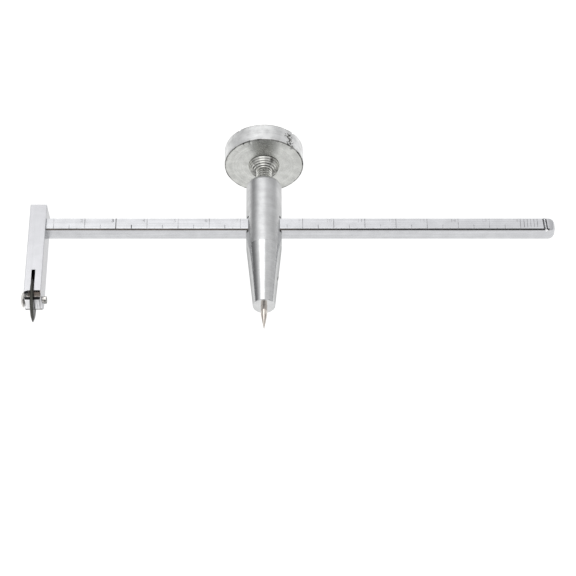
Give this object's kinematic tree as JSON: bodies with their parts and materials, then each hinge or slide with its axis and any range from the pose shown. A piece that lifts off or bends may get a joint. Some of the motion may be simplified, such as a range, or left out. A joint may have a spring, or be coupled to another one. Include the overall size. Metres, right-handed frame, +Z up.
{
  "type": "marking gauge",
  "caption": "Beam gauge that scribes and cuts circles: graduated square beam, forked arm with a free cutting wheel, sliding centre post clamped by a knob.",
  "frame": {"origin": "centre of the bottom of the bounding box of the tool lying on its back, with the knob's rim at z = 0", "axes": "+X along the beam away from the cutting wheel, +Y along the post's axis from the centre pin to the knob, +Z up, out of the graduated face"},
  "size_m": [0.215, 0.094, 0.0328],
  "materials": {
    "plated_steel": "bright zinc plating, drawn bar",
    "satin_steel": "pale satin plating",
    "turned_aluminium": "lathe-turned, semi-bright",
    "screw_steel": "bright turned thread",
    "hardened_steel": "dark hardened steel with a ground edge",
    "polished_steel": "polished, slightly warm",
    "brass": "plain turned"
  },
  "bodies": {
    "beam": {"beam": "plated_steel", "cutter_arm": "satin_steel", "arm_cross_pin": "polished_steel", "wheel_axle": "polished_steel"},
    "wheel": {"cutting_wheel": "hardened_steel"},
    "post": {"post": "turned_aluminium", "centre_pin": "polished_steel", "pin_set_screw": "hardened_steel"},
    "plug": {"pressure_plug": "brass"},
    "knob": {"knob": "turned_aluminium", "clamp_screw": "screw_steel"}
  },
  "joints": [
    {"name": "wheel_spin", "type": "hinge", "parent": "beam", "child": "wheel", "pos_m": [-0.1029, -0.03165, 0.0154], "axis": [1, 0, 0], "continuous": true},
    {"name": "post_slide", "type": "slide", "parent": "beam", "child": "post", "axis": [1, 0, 0], "range_m": [-0.08, 0.1055]},
    {"name": "plug_slide", "type": "slide", "parent": "post", "child": "plug", "axis": [0, 1, 0], "range_m": [0, 0.004]},
    {"name": "knob_turn", "type": "hinge", "parent": "plug", "child": "knob", "pos_m": [-0.0109, 0.00455, 0.0164], "axis": [0, 1, 0], "range_deg": [0, 1080]}
  ],
  "couplings": [
    {"joint": "plug_slide", "follows": "knob_turn", "m_per_rad": 0.00020213}
  ]
}
